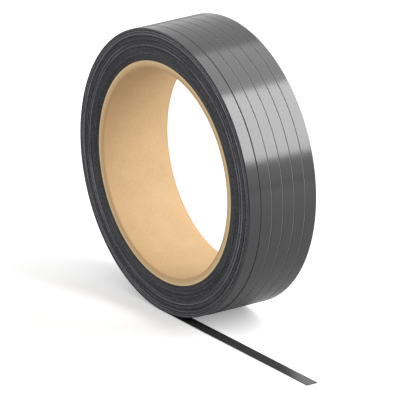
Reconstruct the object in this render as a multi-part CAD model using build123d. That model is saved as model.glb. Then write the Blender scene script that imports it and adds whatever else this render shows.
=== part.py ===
from build123d import *
import os

# Polyester strapping coil: one long flat strap, traverse-wound in six columns on a
# paperboard core, standing on its rim, with the free end lying along the floor.
# All lengths are in millimetres and angles in degrees. The origin is on the floor
# under the coil's middle, +Y is along the coil's axis towards its front end, +Z is
# up, and the free end runs towards -X. Each piece is made about the coil's axis and
# then stood on the floor.

# Strap
STRAP_WIDTH = 25.0
STRAP_THICKNESS = 1.0
TAIL_LENGTH = 466.0
TAIL_SKEW = 0.5

# Winding
COLUMNS = 6
FIRST_GAP = 1.0
COLUMN_GAP = 0.36
GROOVE_DEPTH = 4.0
TURNS = 62

# Core
CORE_BORE = 406.0
CORE_WALL = 13.0
CORE_CHAMFER = 0.8
CORE_RECESS = 0.5
CORE_CLEARANCE = 0.2

# Ends of the winding: the turns stand in bands that are shifted a little along the axis
BANDS = 6
BAND_RELIEF = 0.7
BAND_STEP = 0.618
FRONT_PHASE = 0.2
BACK_PHASE = 0.55

# Sizes worked out from the ones above
column_pitch = STRAP_WIDTH + COLUMN_GAP
winding_width = COLUMNS * STRAP_WIDTH + FIRST_GAP + (COLUMNS - 2) * COLUMN_GAP
core_outer_radius = CORE_BORE / 2 + CORE_WALL
winding_bore_radius = core_outer_radius + CORE_CLEARANCE
winding_radius = winding_bore_radius + TURNS * STRAP_THICKNESS
groove_floor_radius = winding_radius - GROOVE_DEPTH
column_root_radius = groove_floor_radius - STRAP_THICKNESS
front_face = winding_width / 2
back_face = -winding_width / 2
on_floor = Pos(Z=winding_radius)


def paperboard_core():
    """The wound paper tube, a little shorter than the winding, with eased edges."""
    length = winding_width - 2 * CORE_RECESS
    tube = Cylinder(core_outer_radius, length) - Cylinder(CORE_BORE / 2, length)
    end_edges = tube.edges().filter_by(GeomType.CIRCLE)
    return on_floor * Rot(X=90) * chamfer(end_edges, CORE_CHAMFER)


def band_depths(phase):
    """How far each band of turns lies back from the end plane: an uneven sequence
    that never repeats, with the outermost band on the end plane itself."""
    shares = [(phase + BAND_STEP * band) % 1.0 for band in range(BANDS - 1)]
    return [BAND_RELIEF * share for share in shares] + [0.0]


def end_outline(face, inward, phase):
    """Points (radius, y) across one end, from the bore to the groove floor."""
    band_width = (groove_floor_radius - winding_bore_radius) / BANDS
    points = []
    for band, depth in enumerate(band_depths(phase)):
        inner = winding_bore_radius + band * band_width
        y = face + inward * depth
        points += [(inner, y), (inner + band_width, y)]
    return points


def turned_drum():
    """The packed turns under the grooves, turned in one piece about the axis."""
    front = end_outline(front_face, -1, FRONT_PHASE)
    back = end_outline(back_face, 1, BACK_PHASE)
    outline = Polyline(*front, *reversed(back), close=True)
    return revolve(make_face(outline), Axis.Y, 360)


def column_middle(column):
    """Where a column's middle lies on the axis, counted from the front. The front
    column, which the free end comes from, stands a little further off."""
    start = front_face - column * column_pitch
    if column > 0:
        start -= FIRST_GAP - COLUMN_GAP
    return start - STRAP_WIDTH / 2


def column_ring(column):
    """The outer turns of one column, a plain ring as square-edged as the strap."""
    ring = Cylinder(winding_radius, STRAP_WIDTH) - Cylinder(column_root_radius, STRAP_WIDTH)
    return Pos(Y=column_middle(column)) * Rot(X=90) * ring


def last_turn_outline():
    """The front column seen along the axis. The strap's last turn comes down the +X
    side at the full radius and leaves at the bottom, so the -X side is a half circle
    that ends one strap thickness higher: a spiral of two tangent arcs and a step."""
    top = (0, winding_radius)
    bottom = (0, -winding_radius)
    step = (0, -winding_radius + STRAP_THICKNESS)
    inner_radius = winding_radius - STRAP_THICKNESS / 2
    last_half = ThreePointArc(bottom, (winding_radius, 0), top)
    half_before = ThreePointArc(top, (-inner_radius, STRAP_THICKNESS / 2), step)
    return make_face(last_half + half_before + Line(step, bottom))


def front_column():
    """The outer turns of the front column, whose last turn runs out as the tail."""
    disc = extrude(Plane.XZ * last_turn_outline(), STRAP_WIDTH / 2, both=True)
    hole = Rot(X=90) * Cylinder(column_root_radius, STRAP_WIDTH)
    return Pos(Y=column_middle(0)) * (disc - hole)


def strap_winding():
    """All the wound turns, in one solid with the bore for the core."""
    winding = turned_drum() + front_column()
    for column in range(1, COLUMNS):
        winding += column_ring(column)
    return on_floor * winding


def strap_tail():
    """The free end: the strap goes on level from the bottom of the front column,
    turned outwards by the skew, and is cut square at its end."""
    start = Vector(0, front_face, 0)
    along = Vector(-1, 0, 0).rotate(Axis.Z, -TAIL_SKEW)
    across = Vector(0, -1, 0).rotate(Axis.Z, -TAIL_SKEW)
    far_start = start + Vector(0, STRAP_WIDTH / across.Y, 0)
    near_end = start + along * TAIL_LENGTH
    far_end = near_end + across * STRAP_WIDTH
    outline = Polyline(start, near_end, far_end, far_start, close=True)
    return extrude(make_face(outline), STRAP_THICKNESS, dir=(0, 0, 1))


os.makedirs("parts", exist_ok=True)
export_step(paperboard_core(), "parts/core.step")
export_step(strap_winding(), "parts/strap_winding.step")
export_step(strap_tail(), "parts/strap_tail.step")
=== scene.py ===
# %% [markdown]
# A coil of black polyester strapping on a kraft paper core, standing on its rim.
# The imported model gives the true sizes. This file dresses it: the strap is wound as a
# real ribbon, the ends show every turn, and each material starts from the real one.

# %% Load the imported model
import math

import bpy
import numpy as np
from mathutils import Matrix, Vector


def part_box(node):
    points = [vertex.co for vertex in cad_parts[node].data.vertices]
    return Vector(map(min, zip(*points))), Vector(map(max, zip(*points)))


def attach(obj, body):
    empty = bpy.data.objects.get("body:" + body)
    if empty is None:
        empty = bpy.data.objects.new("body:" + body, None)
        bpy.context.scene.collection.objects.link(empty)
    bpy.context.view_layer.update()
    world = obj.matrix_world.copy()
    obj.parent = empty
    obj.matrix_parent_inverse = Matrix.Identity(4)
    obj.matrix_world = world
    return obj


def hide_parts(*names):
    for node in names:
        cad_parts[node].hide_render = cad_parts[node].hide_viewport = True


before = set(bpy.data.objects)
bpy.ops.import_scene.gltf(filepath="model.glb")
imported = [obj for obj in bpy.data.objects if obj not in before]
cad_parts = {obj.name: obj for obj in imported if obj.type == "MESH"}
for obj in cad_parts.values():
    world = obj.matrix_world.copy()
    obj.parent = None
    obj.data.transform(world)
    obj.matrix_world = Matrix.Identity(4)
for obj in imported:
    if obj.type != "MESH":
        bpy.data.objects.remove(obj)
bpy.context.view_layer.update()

# %% [markdown]
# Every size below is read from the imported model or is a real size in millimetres, so
# the scene follows the model when the model changes.

# %% Sizes shared by all pieces
MM = 0.001
COLUMNS = 6
TURNS = 62
STRAP_WIDTH = 25.0 * MM
STRAP_THICKNESS = 1.0 * MM
FIRST_GAP = 1.0 * MM
CORE_WALL = 13.0 * MM
CORE_CLEARANCE = 0.2 * MM

winding_low, winding_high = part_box("strap_winding")
core_low, core_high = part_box("core")

RIM_RADIUS = (winding_high[2] - winding_low[2]) / 2
AXIS_HEIGHT = winding_low[2] + RIM_RADIUS
FRONT = winding_high[1]
BACK = winding_low[1]
CORE_OUTER = (core_high[2] - core_low[2]) / 2
CORE_INNER = CORE_OUTER - CORE_WALL
WOUND_INNER = CORE_OUTER + CORE_CLEARANCE
TURN_PITCH = (RIM_RADIUS - WOUND_INNER) / TURNS
COLUMN_GAP = (FRONT - BACK - COLUMNS * STRAP_WIDTH - FIRST_GAP) / (COLUMNS - 2)
print(f"rim radius {RIM_RADIUS / MM:.1f} mm, turn pitch {TURN_PITCH / MM:.3f} mm")


# %% [markdown]
# The camera stands where the photographer's stood: far away with a long lens, so the
# coil's ends stay almost parallel. Its direction is an angle round the coil and one
# above the floor, and its place is given in rim radii, so it steps back from a larger
# coil and the picture stays the same.

# %% Camera
CAMERA_AZIMUTH = math.radians(234.793)
CAMERA_ELEVATION = math.radians(19.955)
CAMERA_PLACE = Vector((-40.179, 28.325, 18.601)) * RIM_RADIUS
LENS_MM = 694.1

away = Vector(
    (
        math.sin(CAMERA_AZIMUTH) * math.cos(CAMERA_ELEVATION),
        -math.cos(CAMERA_AZIMUTH) * math.cos(CAMERA_ELEVATION),
        math.sin(CAMERA_ELEVATION),
    )
)
camera = bpy.data.objects.new("camera", bpy.data.cameras.new("camera"))
bpy.context.collection.objects.link(camera)
camera.data.lens = LENS_MM
camera.data.clip_start = 1.0
camera.data.clip_end = 100.0
camera.location = CAMERA_PLACE
camera.rotation_euler = away.to_track_quat("Z", "Y").to_euler()
bpy.context.scene.camera = camera
print(f"camera {CAMERA_PLACE.length:.1f} m away with a {LENS_MM} mm lens")


# %% [markdown]
# All new pieces are grids of points: rows go round the coil or along the strap, and
# columns go round the section. They could be modelled by hand, but a grid that a
# formula fills has no stray faces and takes any size. One function joins a grid into a
# closed mesh. It measures the volume that the faces enclose, and turns them round if
# they face inward.

# %% Grid to mesh
def enclosed_volume(points, faces):
    """Signed volume: the sum over triangles of the corner vectors' triple product / 6."""
    a, b, c = (points[faces[:, k]] for k in range(3))
    first = np.einsum("ij,ij->i", a, np.cross(b, c)).sum()
    if faces.shape[1] == 4:
        d = points[faces[:, 3]]
        first += np.einsum("ij,ij->i", a, np.cross(c, d)).sum()
    return first / 6


def grid_faces(rows, columns, ring):
    """Quads between neighbouring rows and columns. The section is always closed, and
    a ring also joins its last row to its first."""
    row = np.arange(rows if ring else rows - 1)[:, None]
    column = np.arange(columns)[None, :]
    next_row = (row + 1) % rows
    next_column = (column + 1) % columns
    corners = (
        row * columns + column,
        next_row * columns + column,
        next_row * columns + next_column,
        row * columns + next_column,
    )
    return np.stack([np.broadcast_to(c, corners[2].shape) for c in corners], -1).reshape(-1, 4)


def closed_mesh(name, grid, ring, material, sharp=40, tone=None):
    """A mesh from grid[row, column] = (x, y, z). An open strip gets a flat cap, one
    face, at each end. Edges sharper than the angle sharp, in degrees, stay crisp. tone
    is kept as the mesh's attribute tone_and_painted_light."""
    rows, columns, _ = grid.shape
    points = grid.reshape(-1, 3)
    faces = grid_faces(rows, columns, ring)
    first = list(range(columns))
    last = list(range(len(points) - columns, len(points)))
    every = faces.tolist() + ([] if ring else [first[::-1], last])
    if enclosed_volume(points - points.mean(0), faces) < 0:
        every = [face[::-1] for face in every]
    mesh = bpy.data.meshes.new(name)
    mesh.from_pydata(points.tolist(), [], every)
    mesh.polygons.foreach_set("use_smooth", [True] * len(mesh.polygons))
    mesh.set_sharp_from_angle(angle=math.radians(sharp))
    # the tone attribute holds painted highlight and shade for the edges of the strap and of the turns
    if tone is not None:
        mesh.attributes.new("tone_and_painted_light", "FLOAT", "POINT").data.foreach_set("value", tone.ravel())
    mesh.materials.append(material)
    mesh.update()
    piece = bpy.data.objects.new(name, mesh)
    bpy.context.collection.objects.link(piece)
    print(f"{name}: {len(every)} faces")
    return piece


# %% [markdown]
# A finish is a small network of shader nodes. Built by hand it is hard to read later,
# so one function adds any node with its settings and links, and a finish becomes a
# list. Another turns an sRGB hex colour into the linear numbers that a shader wants.
# A third measures round the coil's axis, because the strap's and the board's patterns
# run that way.

# %% Shader helpers
COLOURS = {"data_type": "RGBA"}
ADDED = {"operation": "ADD"}
TIMES = {"operation": "MULTIPLY"}
SCALED = {"operation": "SCALE"}
UNSIGNED = {"operation": "ABSOLUTE"}
LARGER = {"operation": "MAXIMUM"}


def linear(code):
    """sRGB hex to linear RGBA, by the sRGB curve."""
    shares = [int(code[k : k + 2], 16) / 255 for k in (1, 3, 5)]
    return [s / 12.92 if s <= 0.04045 else ((s + 0.055) / 1.055) ** 2.4 for s in shares] + [1.0]


def add(owner, kind, settings=None, **inputs):
    """Adds a node to a material or world. settings are the node's own properties, and
    inputs are values or sockets, named as the sockets are with _ for a space, or by
    number as in_0."""
    tree = owner.node_tree
    node = tree.nodes.new(kind)
    for key, value in (settings or {}).items():
        setattr(node, key, value)
    for key, value in inputs.items():
        number = key.removeprefix("in_")
        socket = node.inputs[int(number) if number.isdigit() else key.replace("_", " ")]
        if isinstance(value, bpy.types.NodeSocket):
            tree.links.new(value, socket)
        else:
            socket.default_value = value
    return node


def emptied(owner):
    """A new material or world with no nodes in it yet."""
    owner.use_nodes = True
    owner.node_tree.nodes.clear()
    return owner


def round_the_axis(material, place):
    """The distance of a place from the coil's axis, and the direction away from the
    axis as a vector of length 1: the place less the axis height, flattened along y,
    and then its length and its unit vector."""
    centred = add(material, "ShaderNodeMapping", Vector=place, Location=(0, 0, -AXIS_HEIGHT))
    flat = add(material, "ShaderNodeVectorMath", TIMES, in_0=centred.outputs[0], in_1=(1, 0, 1)).outputs[0]
    radius = add(material, "ShaderNodeVectorMath", {"operation": "LENGTH"}, in_0=flat)
    way = add(material, "ShaderNodeVectorMath", {"operation": "NORMALIZE"}, in_0=flat)
    return radius.outputs["Value"], way.outputs[0]


# %% [markdown]
# The strap is extruded polyester, PET, coloured black in the melt and drawn out long,
# which leaves faint lines along it. To the eye it is a charcoal grey plastic with a
# clear reflection, so a studio light shows in it as a band with soft edges. The real
# lines and scratches are too fine to show, so they are drawn 0.9 and 1.5 mm wide. Beside
# each groove one strap's edge catches the light, and its neighbour's lies in shade.
# These edges are thinner than a pixel, so light alone would not show them steadily: the
# mesh says where they are, and the material paints a highlight on one and shade on the other.

# %% Material: drawn PET strap
LINE_LENGTH = 300 * MM
LINE_WIDTH = 0.9 * MM
STRAP_CLOUD = 60 * MM
SCRATCH_SIZE = 1.5 * MM
SCRATCH_SHARE = 0.4
EDGE_DULLNESS = 0.3
CHARCOAL = linear("#353535")
DRAWN_LINE = linear("#424242")
PAINTED_EDGE_HIGHLIGHT = linear("#b0b0ae")
PAINTED_EDGE_SHADE = linear("#070707")


def drawn_pet():
    """Black PET: fine lines along the strap from noise that is stretched round the
    coil, slow clouds in the gloss, and the index of refraction of PET. The mesh's tone
    attribute makes an edge duller, with a painted highlight at 1 and painted shade,
    nearly black, at -1."""
    material = emptied(bpy.data.materials.new("drawn_black_PET_strap"))
    place = add(material, "ShaderNodeTexCoord").outputs["Object"]
    scales = (1 / LINE_LENGTH, 1 / LINE_WIDTH, 1 / LINE_LENGTH)
    stretched = add(material, "ShaderNodeMapping", Vector=place, Scale=scales).outputs[0]
    lines = add(material, "ShaderNodeTexNoise", Vector=stretched, Scale=1.0, Detail=3.0).outputs["Fac"]
    cloud = add(material, "ShaderNodeTexNoise", Vector=place, Scale=1 / STRAP_CLOUD, Detail=3.0)
    scratch = add(material, "ShaderNodeTexNoise", Vector=place, Scale=1 / SCRATCH_SIZE, Detail=2.0)
    edge = add(material, "ShaderNodeAttribute", {"attribute_name": "tone_and_painted_light"}).outputs["Fac"]
    painted_shade = add(material, "ShaderNodeMath", TIMES, in_0=edge, in_1=-1.0).outputs[0]
    tone = add(material, "ShaderNodeMix", COLOURS, Factor=lines, in_6=CHARCOAL, in_7=DRAWN_LINE).outputs[2]
    # a painted highlight on the lit edge, then painted shade on the shaded one
    tone = add(material, "ShaderNodeMix", COLOURS, Factor=edge, in_6=tone, in_7=PAINTED_EDGE_HIGHLIGHT).outputs[2]
    tone = add(material, "ShaderNodeMix", COLOURS, Factor=painted_shade, in_6=tone, in_7=PAINTED_EDGE_SHADE).outputs[2]
    gloss = add(material, "ShaderNodeMapRange", Value=cloud.outputs["Fac"], To_Min=0.14, To_Max=0.22)
    either = add(material, "ShaderNodeMath", UNSIGNED, in_0=edge).outputs[0]
    dull = add(material, "ShaderNodeMath", TIMES, in_0=either, in_1=EDGE_DULLNESS).outputs[0]
    roughness = add(material, "ShaderNodeMath", ADDED, in_0=gloss.outputs[0], in_1=dull).outputs[0]
    height = add(material, "ShaderNodeMath", TIMES, in_0=scratch.outputs["Fac"], in_1=SCRATCH_SHARE)
    height = add(material, "ShaderNodeMath", ADDED, in_0=height.outputs[0], in_1=lines).outputs[0]
    bump = add(material, "ShaderNodeBump", Strength=0.06, Distance=0.1 * MM, Height=height).outputs[0]
    shader = add(
        material,
        "ShaderNodeBsdfPrincipled",
        Base_Color=tone,
        Roughness=roughness,
        IOR=1.57,
        Normal=bump,
    )
    add(material, "ShaderNodeOutputMaterial", Surface=shader.outputs[0])
    return material


PET_STRAP = drawn_pet()
print(f"{PET_STRAP.name}: {len(PET_STRAP.node_tree.nodes)} nodes")


# %% [markdown]
# On the coil's ends the eye sees the strap's slit edges, turn upon turn. A slit edge is
# rougher and duller than the face. Each turn's edge catches the light differently, and
# this light is painted into the tone. Rings could be painted on a flat disc, but the
# turns here are real, so each mesh point carries the tone of its own turn, painted
# highlight and shade included, and a grit breaks it up along the turn. The tears of
# a real slit are much finer than a pixel, so the grit is as coarse as it needs to show.

# %% Material: slit edges of the turns
GRAIN_WIDTH = 1.3 * MM
GRAINS_PER_RADIAN = 70.0
GRIT_SPREAD = 0.16
# The slit edges' two greys: the darker also gives their painted shade, and the paler tops their painted
# highlight lines.
EDGE_DARK_AND_SHADE = linear("#0c0c0f")
EDGE_PALE_AND_HIGHLIGHT = linear("#a6a6ae")
print(f"a grain is {RIM_RADIUS / GRAINS_PER_RADIAN / MM:.1f} mm long at the rim")


def slit_edges():
    """Tone from the mesh's tone attribute, which holds painted highlight and shade, plus
    grit: noise over the distance from the axis and the direction away from it, so that its
    grains lie along the turns. The index of refraction is a little under PET's, because a
    torn cut reflects less."""
    material = emptied(bpy.data.materials.new("slit_edges_of_PET_strap"))
    place = add(material, "ShaderNodeTexCoord").outputs["Object"]
    radius, way = round_the_axis(material, place)
    way = add(material, "ShaderNodeVectorMath", SCALED, in_0=way, Scale=GRAINS_PER_RADIAN)
    parts = add(material, "ShaderNodeSeparateXYZ", Vector=way.outputs[0]).outputs
    across = add(material, "ShaderNodeMath", TIMES, in_0=radius, in_1=1 / GRAIN_WIDTH).outputs[0]
    at = add(material, "ShaderNodeCombineXYZ", X=across, Y=parts[0], Z=parts[2]).outputs[0]
    grit = add(material, "ShaderNodeTexNoise", Vector=at, Scale=1.0, Detail=2.0).outputs["Fac"]
    spread = add(
        material,
        "ShaderNodeMapRange",
        Value=grit,
        From_Min=0.3,
        From_Max=0.7,
        To_Min=-GRIT_SPREAD,
        To_Max=GRIT_SPREAD,
    )
    # painted highlight and shade from the tone attribute, mixed into the slit edges' greys
    tone = add(material, "ShaderNodeAttribute", {"attribute_name": "tone_and_painted_light"}).outputs["Fac"]
    tone = add(material, "ShaderNodeMath", ADDED, in_0=tone, in_1=spread.outputs[0]).outputs[0]
    tone = add(material, "ShaderNodeMix", COLOURS, Factor=tone, in_6=EDGE_DARK_AND_SHADE, in_7=EDGE_PALE_AND_HIGHLIGHT).outputs[2]
    bump = add(material, "ShaderNodeBump", Strength=0.6, Distance=0.3 * MM, Height=grit).outputs[0]
    shader = add(
        material,
        "ShaderNodeBsdfPrincipled",
        Base_Color=tone,
        Roughness=0.48,
        IOR=1.45,
        Normal=bump,
    )
    add(material, "ShaderNodeOutputMaterial", Surface=shader.outputs[0])
    return material


SLIT_EDGES = slit_edges()
print(f"{SLIT_EDGES.name}: {len(SLIT_EDGES.node_tree.nodes)} nodes")


# %% [markdown]
# The core is kraft board: brown paper plies wound in a spiral and glued. It is matt.
# Its faces show short fibres, slow clouds of tone and a few pale specks, and painted
# shade darkens them close to the ends. Its cut ends run from a duller
# tone at the bore to a paler one outside. A picture of board would need a seam
# somewhere, so the pattern is noise, scaled in millimetres. Single fibres are too thin
# to show, so each grain of the noise stands for a bundle of them, 1.2 mm wide.

# %% Board: faces
FIBRE_WIDTH = 1.2 * MM
FIBRES_PER_RADIAN = 30.0
FIBRE_SHARE = 0.65
BOARD_CLOUD = 45 * MM
SPECK_SPACING = 13 * MM
SPECK_STRENGTH = 0.4
END_SHADE_FROM = 4 * MM
END_SHADE_TO = 1 * MM
WALL_DARK = linear("#c5a67b")
WALL_LIGHT = linear("#d4b48a")
SPECK = linear("#f3e0bf")
PAINTED_END_SHADE = linear("#a07d55")
print(f"a fibre is {CORE_INNER / FIBRES_PER_RADIAN / MM:.1f} mm long in the bore")


def board_fibre(material, place, way):
    """Noise over the direction away from the axis and the place along it, so that the
    fibres are short and lie round the tube."""
    along = add(material, "ShaderNodeVectorMath", SCALED, in_0=way, Scale=FIBRES_PER_RADIAN)
    depth = add(material, "ShaderNodeSeparateXYZ", Vector=place).outputs[1]
    depth = add(material, "ShaderNodeMath", TIMES, in_0=depth, in_1=1 / FIBRE_WIDTH).outputs[0]
    depth = add(material, "ShaderNodeCombineXYZ", Y=depth).outputs[0]
    laid = add(material, "ShaderNodeVectorMath", ADDED, in_0=along.outputs[0], in_1=depth).outputs[0]
    return add(material, "ShaderNodeTexNoise", Vector=laid, Scale=1.0, Detail=4.0).outputs["Fac"]


def board_wall(material, place, fibre):
    """Colour of the faces: fibre and cloud in their shares choose between two browns,
    a speck is pale close to a cell's middle, and painted shade darkens the last
    millimetres at each end."""
    cloud = add(material, "ShaderNodeTexNoise", Vector=place, Scale=1 / BOARD_CLOUD, Detail=3.0)
    cloud = add(material, "ShaderNodeMath", TIMES, in_0=cloud.outputs["Fac"], in_1=1 - FIBRE_SHARE)
    blend = add(material, "ShaderNodeMath", TIMES, in_0=fibre, in_1=FIBRE_SHARE).outputs[0]
    blend = add(material, "ShaderNodeMath", ADDED, in_0=blend, in_1=cloud.outputs[0]).outputs[0]
    blend = add(material, "ShaderNodeMapRange", Value=blend, From_Min=0.35, From_Max=0.65).outputs[0]
    speck = add(material, "ShaderNodeTexVoronoi", Vector=place, Scale=1 / SPECK_SPACING)
    pale = add(
        material,
        "ShaderNodeMapRange",
        Value=speck.outputs["Distance"],
        From_Min=0.06,
        From_Max=0.11,
        To_Min=SPECK_STRENGTH,
        To_Max=0.0,
    ).outputs[0]
    middle = add(material, "ShaderNodeSeparateXYZ", Vector=place).outputs[1]
    middle = add(material, "ShaderNodeMath", UNSIGNED, in_0=middle).outputs[0]
    # painted shade over the last millimetres at each end of the tube
    end_shade = add(
        material,
        "ShaderNodeMapRange",
        Value=middle,
        From_Min=core_high[1] - END_SHADE_FROM,
        From_Max=core_high[1] - END_SHADE_TO,
    ).outputs[0]
    wall = add(material, "ShaderNodeMix", COLOURS, Factor=blend, in_6=WALL_DARK, in_7=WALL_LIGHT).outputs[2]
    wall = add(material, "ShaderNodeMix", COLOURS, Factor=pale, in_6=wall, in_7=SPECK).outputs[2]
    return add(material, "ShaderNodeMix", COLOURS, Factor=end_shade, in_6=wall, in_7=PAINTED_END_SHADE).outputs[2]


# %% Material: kraft board
END_INNER = linear("#d6ae7d")
END_OUTER = linear("#f6dbaa")


def kraft_board():
    """The faces' colour, and on the cut ends a tone that goes by the distance from the
    axis. How far the normal points along the axis tells an end from a face."""
    material = emptied(bpy.data.materials.new("spiral_wound_kraft_board"))
    place = add(material, "ShaderNodeTexCoord").outputs["Object"]
    radius, way = round_the_axis(material, place)
    fibre = board_fibre(material, place, way)
    wall = board_wall(material, place, fibre)
    # the cut end's tone, graded from the bore to the rim
    bore_to_rim = add(material, "ShaderNodeMapRange", Value=radius, From_Min=CORE_INNER, From_Max=CORE_OUTER)
    bore_to_rim = bore_to_rim.outputs[0]
    end = add(material, "ShaderNodeMix", COLOURS, Factor=bore_to_rim, in_6=END_INNER, in_7=END_OUTER).outputs[2]
    normal = add(material, "ShaderNodeNewGeometry").outputs["Normal"]
    facing = add(material, "ShaderNodeSeparateXYZ", Vector=normal).outputs[1]
    facing = add(material, "ShaderNodeMath", UNSIGNED, in_0=facing).outputs[0]
    is_end = add(material, "ShaderNodeMapRange", Value=facing, From_Min=0.2, From_Max=0.4).outputs[0]
    tone = add(material, "ShaderNodeMix", COLOURS, Factor=is_end, in_6=wall, in_7=end).outputs[2]
    bump = add(material, "ShaderNodeBump", Strength=0.3, Distance=0.15 * MM, Height=fibre).outputs[0]
    shader = add(
        material,
        "ShaderNodeBsdfPrincipled",
        Base_Color=tone,
        Roughness=0.85,
        IOR=1.5,
        Normal=bump,
    )
    add(material, "ShaderNodeOutputMaterial", Surface=shader.outputs[0])
    return material


KRAFT_BOARD = kraft_board()
print(f"{KRAFT_BOARD.name}: {len(KRAFT_BOARD.node_tree.nodes)} nodes")


# %% [markdown]
# A strap is a thin flat band with eased edges. A box would give it edges that never
# catch the light, so its section is drawn once, with a half ellipse at each side, and
# is carried along every path that the strap takes.

# %% The strap's section
EDGE_ROUND = 0.8 * MM


def strap_section(width, thickness, steps=3):
    """Half-ellipse edges joined by flat faces: points (across, up) with the underside
    at 0 and across from -width/2 to width/2. One more point on each flat, close to the
    edge, keeps the shading of the flat from bending towards the edge."""
    turn = np.linspace(0, np.pi, 2 * steps + 1)
    bulge = np.stack([np.sin(turn) * EDGE_ROUND, -np.cos(turn) * thickness / 2], -1)
    flat = np.array([[-0.5 * EDGE_ROUND, thickness / 2]])
    bulge = np.concatenate([flat * [1, -1], bulge, flat])
    right = bulge + [width / 2 - EDGE_ROUND, thickness / 2]
    left = right[::-1] * [-1, 1]
    return np.concatenate([right, left])


section = strap_section(STRAP_WIDTH, STRAP_THICKNESS)
print(f"the strap's section has {len(section)} points")

# %% [markdown]
# The free end is one strap's width and thickness, lying flat. Its route is a smooth
# spline of a few points, and its section is carried along that route.

# %% The free end
TAIL_SKEW = math.radians(0.5)
TAIL_LENGTH = 466.0 * MM

start = Vector((0.0, FRONT - STRAP_WIDTH / 2, 0.0))
along = Vector((-math.cos(TAIL_SKEW), math.sin(TAIL_SKEW), 0.0))
route = [start + along * (TAIL_LENGTH * share) for share in (0.0, 0.3, 0.7, 1.0)]
curve = bpy.data.curves.new("tail_route", "CURVE")
curve.dimensions = "3D"
spline = curve.splines.new("NURBS")
spline.points.add(len(route) - 1)
for point, place in zip(spline.points, route):
    point.co = (*place, 1.0)
spline.order_u = 3
spline.use_endpoint_u = True
guide = bpy.data.objects.new("tail_route", curve)
line_mesh = bpy.data.meshes.new_from_object(guide)
line = np.empty(3 * len(line_mesh.vertices), dtype=np.float32)
line_mesh.vertices.foreach_get("co", line)
line = line.reshape(-1, 3).astype(float)
bpy.data.objects.remove(guide)
bpy.data.meshes.remove(line_mesh)

side = np.array([math.sin(TAIL_SKEW), math.cos(TAIL_SKEW), 0.0])
tail_grid = line[:, None, :] + section[None, :, :1] * side + section[None, :, 1:] * [0.0, 0.0, 1.0]
tail = closed_mesh("strap_free_end", tail_grid, ring=False, material=PET_STRAP)
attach(tail, "root")
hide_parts("strap_tail")


# %% [markdown]
# The core, the stacks of turns and the outermost turns are all carried round the same
# axis. The angle is 0 at the top and grows over +X, which is the way the strap winds.
# Nothing that is wound by a machine is quite round, so a second function gives slow
# waves round the coil. Plain noise would jump where the circle closes, and waves don't.

# %% Round the axis
SEGMENTS = 240
ANGLE = 2 * np.pi * np.arange(SEGMENTS) / SEGMENTS
print(f"one step round the coil is {360 / SEGMENTS} degrees")


def around(radius, y, angle=ANGLE):
    """Points at radius[row, column] and y[row, column]: x is the radius times the sine
    of the row's angle, and z the axis height plus the radius times its cosine."""
    radius, y = np.broadcast_arrays(radius, y)
    return np.stack([np.sin(angle)[:, None] * radius, y, np.cos(angle)[:, None] * radius + AXIS_HEIGHT], -1)


def round_waves(chance, rows, highest, slope):
    """Slow variation round the coil for every turn: cosines and sines of 1 to highest
    times the angle, with random sizes that fall as the order to the power slope. Each
    turn shares part of its waves with the turns next to it."""
    order = np.arange(1, highest + 1)
    size = chance.normal(size=(2, rows + 2, highest)) / order**slope
    size = size[:, :-2] + 2 * size[:, 1:-1] + size[:, 2:]
    waves = size[0] @ np.cos(order[:, None] * ANGLE) + size[1] @ np.sin(order[:, None] * ANGLE)
    return waves / waves.std()


# %% [markdown]
# The core is a tube of board. Its cut ends show the plies as fine steps, and the edge
# of the bore is pressed a little rounder than the outer edge. Both are too coarse for
# a bump in the material, so they are points in the profile that is turned.

# %% Core
PLIES = 13
PLY_CORNER = 0.15
PLY_NOTCH = 0.12 * MM
PLY_STEP = 0.15 * MM
PRESSED = 1.1 * MM
PRESSED_OVER = 1.6 * MM


def ply_end(face, inward, seed):
    """Across one end of the core from the bore outwards: every ply is a flat with
    notched corners, set back by its own small depth and by a rounding that fades from
    the bore as e to the power of minus the distance over PRESSED_OVER."""
    chance = np.random.default_rng(seed)
    pitch = (CORE_OUTER - CORE_INNER) / PLIES
    ply = np.arange(PLIES)[:, None]
    radius = CORE_INNER + (ply + np.array([0.0, PLY_CORNER, 1 - PLY_CORNER, 1.0])) * pitch
    rounding = PRESSED * np.exp(-(radius - CORE_INNER) / PRESSED_OVER)
    notch = PLY_NOTCH * np.array([1.0, 0.0, 0.0, 1.0])
    y = face + inward * (rounding + notch + chance.uniform(0, PLY_STEP, (PLIES, 1)))
    return radius.ravel(), y.ravel()


front_radius, front_y = ply_end(core_high[1], -1, seed=7)
back_radius, back_y = ply_end(core_low[1], 1, seed=8)
core_radius = np.concatenate([front_radius, back_radius[::-1]])
core_y = np.concatenate([front_y, back_y[::-1]])
core_grid = around(np.tile(core_radius, (SEGMENTS, 1)), core_y)
core = closed_mesh("paper_core", core_grid, ring=True, material=KRAFT_BOARD)
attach(core, "root")
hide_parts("core")


# %% [markdown]
# Under the outermost layer the winding is six stacks of turns. The two end stacks show
# every turn's rounded edge. No winder lays turns quite true, so each edge is set back
# by its own depth, some stand proud, and all of them wander a little on their way round.
# A bump map would be flat at the outline, so these edges are geometry.

# %% Sizes of the turns' edges
LAYER_INNER = RIM_RADIUS - TURN_PITCH
STACK_TURNS = TURNS - 1
ROUND_AT = np.array([0.0, 0.15, 0.5, 0.85, 1.0])
ROUND_BACK = 0.35 * MM * np.array([1.0, 0.3, 0.0, 0.3, 1.0])
DRIFT = 0.22 * MM
DRIFT_TURNS = 7
STEP = 0.1 * MM
PROUD = 0.6 * MM
PROUD_AT_RIM = 0.32
WANDER = 0.1 * MM
DEEPEST = 1.6 * MM
PLAIN_TONE = 0.14
TONE_WAVES = 0.04
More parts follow.
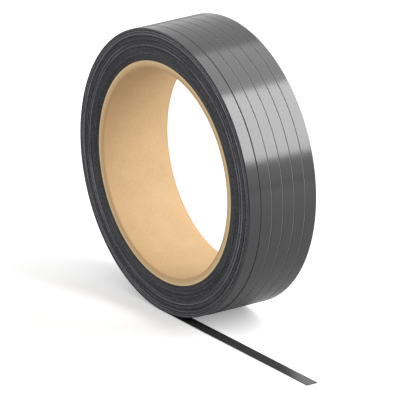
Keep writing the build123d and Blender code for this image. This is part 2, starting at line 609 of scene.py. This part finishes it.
# Painted light on the turns' edges: a highlight line on a proud turn, shade on the turns beside it, and a
# sheen on every turn.
PROUD_HIGHLIGHT_TONE = 0.46
PROUD_HIGHLIGHT_WAVES = 0.15
SHADE_INSIDE = 0.4
SHADE_OUTSIDE = 0.2
SHEEN_AT_BORE = 0.03
SHEEN_GROWTH = 0.07
print(f"{STACK_TURNS} turns show, from {WOUND_INNER / MM:.1f} to {LAYER_INNER / MM:.1f} mm")


# %% Ragged edges
def ragged_edges(seed):
    """Set-back in metres and tone from 0 to 1 of every turn, as arrays [turn, angle].
    The set-back adds a drift over several turns, a step of the turn's own, and waves
    round the coil. Some turns stand proud, more of them towards the rim, and the turn
    inside a proud one lies back. The tone paints light on the edges: a proud turn gets a
    painted highlight line with painted shade on the turn at each side, and every turn
    gets a painted sheen of its own, stronger towards the rim."""
    chance = np.random.default_rng(seed)
    window = np.ones(DRIFT_TURNS) / DRIFT_TURNS**0.5
    drift = np.convolve(chance.normal(size=STACK_TURNS + DRIFT_TURNS - 1), window, "valid")
    step = chance.normal(size=STACK_TURNS)
    share = np.arange(STACK_TURNS) / STACK_TURNS
    proud = (chance.random(STACK_TURNS) < PROUD_AT_RIM * share) * 1.0
    waves = round_waves(chance, STACK_TURNS, highest=24, slope=0.7)
    forward = DRIFT * drift + STEP * step + PROUD * (proud - np.roll(proud, -1))
    place = forward[:, None] + WANDER * waves
    depth = np.minimum(place.max() - place, DEEPEST)
    # painted sheen: a tone of each turn's own, stronger towards the rim
    painted_sheen = np.convolve(chance.normal(size=STACK_TURNS + 1), np.ones(2) / 2**0.5, "valid")
    painted_sheen = painted_sheen * (SHEEN_AT_BORE + SHEEN_GROWTH * share)
    # painted highlight line on a proud turn, with painted shade on the turns beside it
    line = proud - SHADE_INSIDE * np.roll(proud, -1) - SHADE_OUTSIDE * np.roll(proud, 1)
    line = line[:, None] * (PROUD_HIGHLIGHT_TONE + PROUD_HIGHLIGHT_WAVES * waves)
    tone = PLAIN_TONE + painted_sheen[:, None] + line + TONE_WAVES * waves
    return depth, np.clip(tone, 0.0, 1.0)


def shown_end(face, inward, seed):
    """A ragged end as radius, y and tone, each [angle, point], from the bore outwards."""
    depth, light = ragged_edges(seed)
    radius = (WOUND_INNER + (np.arange(STACK_TURNS)[:, None] + ROUND_AT) * TURN_PITCH).ravel()
    y = (face + inward * (depth.T[:, :, None] + ROUND_BACK)).reshape(SEGMENTS, -1)
    tone = np.repeat(light.T, len(ROUND_AT), axis=1)
    return np.tile(radius, (SEGMENTS, 1)), y, tone


def hidden_end(face):
    """An end that its neighbour hides, as two points: plain and dark."""
    radius = np.tile([WOUND_INNER, LAYER_INNER], (SEGMENTS, 1))
    return radius, np.full_like(radius, face), np.zeros_like(radius)


# %% [markdown]
# The front column holds the end of the strap. Its last turn comes over the top and down
# the far side at the full radius, and leaves at the bottom as the free end. So the near
# side of this column is a spiral that closes one strap thickness lower. A plain ring
# could not show the step where the strap leaves, so this stack follows the spiral.

# %% Columns and the run-out of the front one
ROUNDING_ERROR = 1e-9
print(f"the gaps are {FIRST_GAP / MM:.2f} and {COLUMN_GAP / MM:.2f} mm wide")


def column_edges(column):
    """The front and back y of a column, counted from the front. The gap behind the
    front column is wider than the rest."""
    front = FRONT - column * (STRAP_WIDTH + COLUMN_GAP)
    if column > 0:
        front -= FIRST_GAP - COLUMN_GAP
    return front, front - STRAP_WIDTH


def runout(angle):
    """How much lower the front column is: nothing from the top over +X to the bottom,
    then half a thickness times (1 - cosine), up the other way from the bottom."""
    near_side = np.sin(angle) < -ROUNDING_ERROR
    return np.where(near_side, -TURN_PITCH / 2 * (1 - np.cos(angle)), 0.0)


# %% Wound stacks
def wound_stack(column):
    """A ring of section: one end outwards, the other end back. The front column is
    lowered by the run-out in proportion to the distance from the bore. The outermost
    face of a stack is a strap's face, not an edge, and takes the strap's material."""
    front_y, back_y = column_edges(column)
    front = shown_end(front_y, -1, seed=3) if column == 0 else hidden_end(front_y)
    back = shown_end(back_y, 1, seed=5) if column == COLUMNS - 1 else hidden_end(back_y)
    radius, y, tone = (np.concatenate([a, b[:, ::-1]], 1) for a, b in zip(front, back))
    if column == 0:
        radius = radius + runout(ANGLE)[:, None] * (radius - WOUND_INNER) / (LAYER_INNER - WOUND_INNER)
    name = f"wound_stack_{column + 1}"
    stack = closed_mesh(name, around(radius, y), ring=True, material=SLIT_EDGES, sharp=50, tone=tone)
    stack.data.materials.append(PET_STRAP)
    outermost = np.zeros(radius.shape, dtype=int)
    outermost[:, front[0].shape[1] - 1] = 1
    stack.data.polygons.foreach_set("material_index", outermost.ravel())
    return stack


for column in range(COLUMNS):
    stack = wound_stack(column)
    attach(stack, "root")
    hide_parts("strap_winding")


# %% [markdown]
# The outermost layer is the strap itself, in one ribbon of six turns. It is wound from
# the back column to the front one. Each turn but the last ends in a slant that carries
# it over to the next column, and the slants lie side by side on the coil's far side. The
# ribbon comes up from the layer below at the back, slips under itself at the front,
# rises over the near side and ends at the bottom, where the free end goes on. Six
# separate rings would be easier, but no strap could be wound that way.

# %% Path of the last layer
SLANT_END = SEGMENTS // 3
SLANT = SEGMENTS // 9
RISE = SEGMENTS // 16
DIP = 0.9 * STRAP_THICKNESS
DIP_BEFORE = 0.6
DIP_LENGTH = 0.5
print(f"a slant takes {SLANT * 360 / SEGMENTS} degrees and ends at {SLANT_END * 360 / SEGMENTS}")


def eased(share):
    """0 to 1 with level ends: three times the square less twice the cube."""
    share = np.clip(share, 0.0, 1.0)
    return share * share * (3 - 2 * share)


def last_layer_path():
    """Angle, middle y, outer radius and column of every step along the ribbon. It
    starts where the slants end and stops at the bottom, six turns and a sixth later.
    A slant runs from 0 to 1 over the end of its turn. The strap dips ahead of the last
    slant: from DIP_BEFORE of a slant's length before it, over DIP_LENGTH of that length.
    The part of the front column's turn that the last turn covers stays under it, and
    then rises by the run-out's own formula."""
    step = np.arange(COLUMNS * SEGMENTS + SEGMENTS // 2 - SLANT_END + 1)
    turn = np.minimum(step // SEGMENTS, COLUMNS - 1)
    within = step - turn * SEGMENTS
    slant = (within - SEGMENTS + SLANT) / SLANT * (turn < COLUMNS - 1)
    middles = np.array([sum(column_edges(COLUMNS - 1 - k)) / 2 for k in range(COLUMNS)])
    following = middles[np.minimum(turn + 1, COLUMNS - 1)]
    y = middles[turn] + (following - middles[turn]) * eased(slant)
    angle = 2 * np.pi * (SLANT_END + step) / SEGMENTS
    last = angle - 2 * np.pi * (COLUMNS - 1)
    under = np.where(last < np.pi, 1.0, np.where(last < 2 * np.pi, (1 - np.cos(last)) / 2, 0.0))
    dip = eased((slant + DIP_BEFORE) / DIP_LENGTH)
    lowered = 1 - eased(step / RISE) + dip * (turn == COLUMNS - 2) + under * (turn == COLUMNS - 1)
    return angle, y, RIM_RADIUS - DIP * lowered, COLUMNS - 1 - turn


# %% [markdown]
# Beside a groove the ribbon's back edge gets a painted highlight and its front edge painted
# shade. Light reaches both edges of the wide gap behind the front column, so both are
# painted fainter.

# %% Last layer of strap
EDGE_REACH = 1.5 * EDGE_ROUND
WIDE_GAP_TONE = 0.3

to_side = np.abs(section[:, 0]) - STRAP_WIDTH / 2
# painted edge light: a painted highlight on back edges, painted shade on front edges
painted_edge_light_and_shade = np.clip(to_side / EDGE_REACH + 1, 0, 1) * -np.sign(section[:, 0])

angle, middle_y, outer_radius, column = last_layer_path()
radius = outer_radius[:, None] - STRAP_THICKNESS + section[:, 1]
ribbon_grid = around(radius, middle_y[:, None] + section[:, 0], angle)
wide_gap = (column == 0)[:, None] & (painted_edge_light_and_shade > 0) | (column == 1)[:, None] & (painted_edge_light_and_shade < 0)
tone = painted_edge_light_and_shade * np.where(wide_gap, WIDE_GAP_TONE, 1.0)
ribbon = closed_mesh("last_layer_of_strap", ribbon_grid, ring=False, material=PET_STRAP, tone=tone)
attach(ribbon, "root")
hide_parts("strap_winding")


# %% [markdown]
# The studio is white. A real one has a paper sweep that curves up behind the object.
# Here a flat floor is enough: to the camera it glows a little, up to the white of the
# world behind it, so that its end doesn't show, and it keeps the coil's shadow.

# %% Floor
FLOOR_SIZE = 12.0
FLOOR_DROP = 0.5 * MM
FLOOR_GLOW = 0.28
FLOOR_BOUNCE = linear("#bebebe")
FLOOR_WHITE = linear("#fafafa")


def pale_floor():
    """Matt white paint. To the camera it is white, plus a glow. To light that bounces
    off it on to the coil it is a mid grey, as a studio floor further off would be."""
    material = emptied(bpy.data.materials.new("matt_white_floor"))
    seen = add(material, "ShaderNodeLightPath").outputs["Is Camera Ray"]
    paint = add(material, "ShaderNodeMix", COLOURS, Factor=seen, in_6=FLOOR_BOUNCE, in_7=FLOOR_WHITE)
    paper = add(material, "ShaderNodeBsdfDiffuse", Color=paint.outputs[2])
    glow = add(material, "ShaderNodeMath", TIMES, in_0=seen, in_1=FLOOR_GLOW)
    lift = add(material, "ShaderNodeEmission", Strength=glow.outputs[0])
    shader = add(material, "ShaderNodeAddShader", in_0=paper.outputs[0], in_1=lift.outputs[0])
    add(material, "ShaderNodeOutputMaterial", Surface=shader.outputs[0])
    return material


half = FLOOR_SIZE / 2
corners = [(x, y, -FLOOR_DROP) for x, y in ((-half, -half), (half, -half), (half, half), (-half, half))]
floor_mesh = bpy.data.meshes.new("floor")
floor_mesh.from_pydata(corners, [], [(0, 1, 2, 3)])
floor_mesh.materials.append(pale_floor())
floor = bpy.data.objects.new("floor", floor_mesh)
bpy.context.collection.objects.link(floor)
print(f"floor {FLOOR_SIZE} m square")

# %% [markdown]
# An even white world fills the shadows. The camera and the strap's reflections see it
# as white, and it lights the coil a little less than that, which leaves room for the
# strip light below.

# %% World
WORLD_LIGHT = 0.75

world = emptied(bpy.data.worlds.new("white_studio"))
bpy.context.scene.world = world
rays = add(world, "ShaderNodeLightPath").outputs
seen = add(world, "ShaderNodeMath", LARGER, in_0=rays["Is Camera Ray"], in_1=rays["Is Glossy Ray"])
seen = add(world, "ShaderNodeMath", LARGER, in_0=seen.outputs[0], in_1=rays["Is Transmission Ray"])
level = add(world, "ShaderNodeMapRange", Value=seen.outputs[0], To_Min=WORLD_LIGHT, To_Max=1.0).outputs[0]
sky = add(world, "ShaderNodeBackground", Color=(1, 1, 1, 1), Strength=level)
add(world, "ShaderNodeOutputWorld", Surface=sky.outputs[0])
print(f"the world lights the coil at {WORLD_LIGHT}")

# %% [markdown]
# The bright band on the strap is the mirror image of a strip light. A light could be
# pushed about until its band looks right, but its edges follow from the band's: each is
# the camera's direction, mirrored in the strap at that height. A second, dimmer panel
# above the strip light softens the band's upper edge.

# %% Strip lights
PANEL_DISTANCE = 3.0
PANEL_WIDTH = 1.2


def mirrored(height):
    """The camera's direction mirrored in the rim's normal at that angle above -X."""
    normal = Vector((-math.cos(height), 0.0, math.sin(height)))
    return 2 * normal.dot(away) * normal - away


def rim_point(height):
    """The point of the rim at that angle above -X, seen from the axis."""
    return Vector((-math.cos(height) * RIM_RADIUS, 0, AXIS_HEIGHT + math.sin(height) * RIM_RADIUS))


def strip_light(name, lowest, highest, radiance):
    """A light whose mirror image runs between two heights on the rim, in degrees. Rays
    from the rim's lowest, middle and highest point end on it, and its power is the
    radiance times pi times its area."""
    heights = [math.radians(h) for h in (lowest, (lowest + highest) / 2, highest)]
    ends = [rim_point(h) + mirrored(h) * PANEL_DISTANCE for h in heights]
    centre = (ends[0] + 2 * ends[1] + ends[2]) / 4
    upright = (ends[2] - ends[0]).normalized()
    facing = centre - rim_point(heights[1])
    facing = (facing - upright * facing.dot(upright)).normalized()
    lamp = bpy.data.lights.new(name, "AREA")
    lamp.shape = "RECTANGLE"
    lamp.size = PANEL_WIDTH
    lamp.size_y = (ends[2] - ends[0]).length
    lamp.energy = radiance * math.pi * lamp.size * lamp.size_y
    holder = bpy.data.objects.new(name, lamp)
    bpy.context.collection.objects.link(holder)
    turned = Matrix([upright.cross(facing), upright, facing]).transposed()
    holder.matrix_world = Matrix.Translation(centre) @ turned.to_4x4()
    print(f"{name}: {lamp.size:.2f} by {lamp.size_y:.2f} m, {lamp.energy:.0f} W")


strip_light("strip_light", lowest=19.3, highest=49.0, radiance=8.0)
strip_light("dim_panel", lowest=49.0, highest=70.0, radiance=1.7)

# %% [markdown]
# The view is plain, so a colour renders about as it is written.

# %% View settings
bpy.context.scene.view_settings.view_transform = "Standard"
